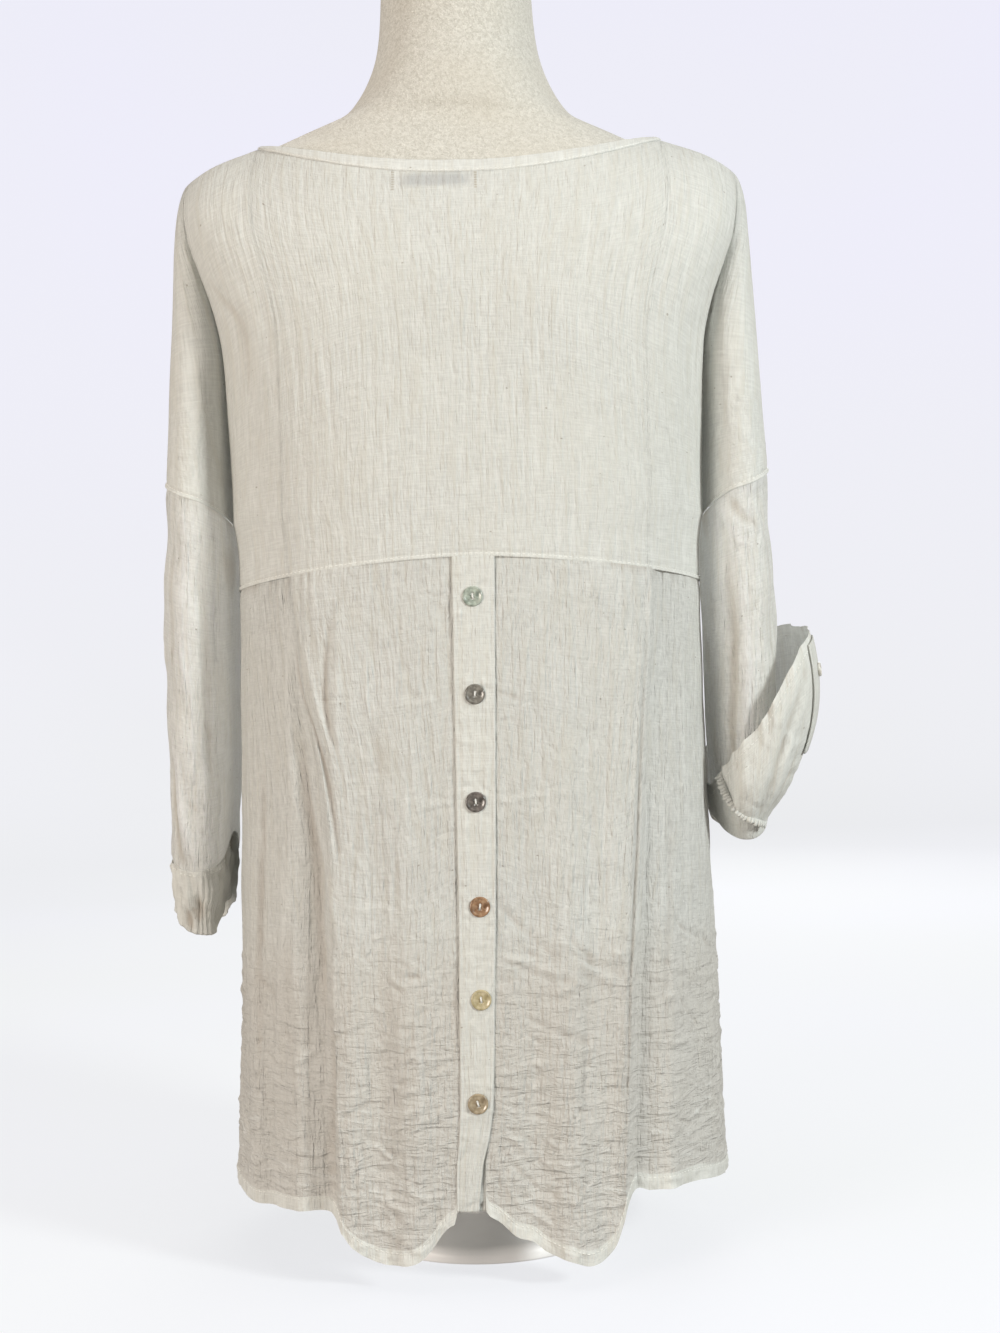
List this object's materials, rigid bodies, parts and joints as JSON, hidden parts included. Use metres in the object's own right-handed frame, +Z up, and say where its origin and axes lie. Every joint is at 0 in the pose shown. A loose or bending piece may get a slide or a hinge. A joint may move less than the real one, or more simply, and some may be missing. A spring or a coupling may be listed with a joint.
{
  "type": "tunic top on a dress form",
  "caption": "Long linen tunic top with a buttoned back, dropped shoulders and one rolled sleeve, worn by a limbless dress form on a low round stand.",
  "frame": {"origin": "centre of the underside of the stand's round base", "axes": "+Z up, the tunic's back faces -Y, +X is on the right of someone who looks at its back"},
  "size_m": [0.5187, 0.3155, 1.0103],
  "materials": {
    "linen": "off-white sheer linen gauze with slubs",
    "double_linen": "off-white linen gauze in two layers",
    "label_tape": "plain woven tape, bare",
    "shell": "polished shell",
    "flock": "speckled off-white flocked cover",
    "stand_metal": "satin off-white paint"
  },
  "bodies": {
    "root": {"back_yoke": "linen", "front_panel": "linen", "back_skirt_left": "linen", "back_skirt_right": "linen", "placket_over": "double_linen", "placket_under": "double_linen", "back_neck_binding": "double_linen", "front_neck_binding": "double_linen", "blank_label": "label_tape", "left_sleeve": "linen", "left_cuff": "double_linen", "right_sleeve": "linen", "right_turned_cuff": "double_linen", "right_tab": "double_linen", "tab_button": "shell", "button_1": "shell", "button_2": "shell", "button_3": "shell", "button_4": "shell", "button_5": "shell", "button_6": "shell", "form_torso": "flock", "form_neck_cap": "flock", "stand_pole": "stand_metal", "stand_base": "stand_metal"}
  },
  "joints": []
}
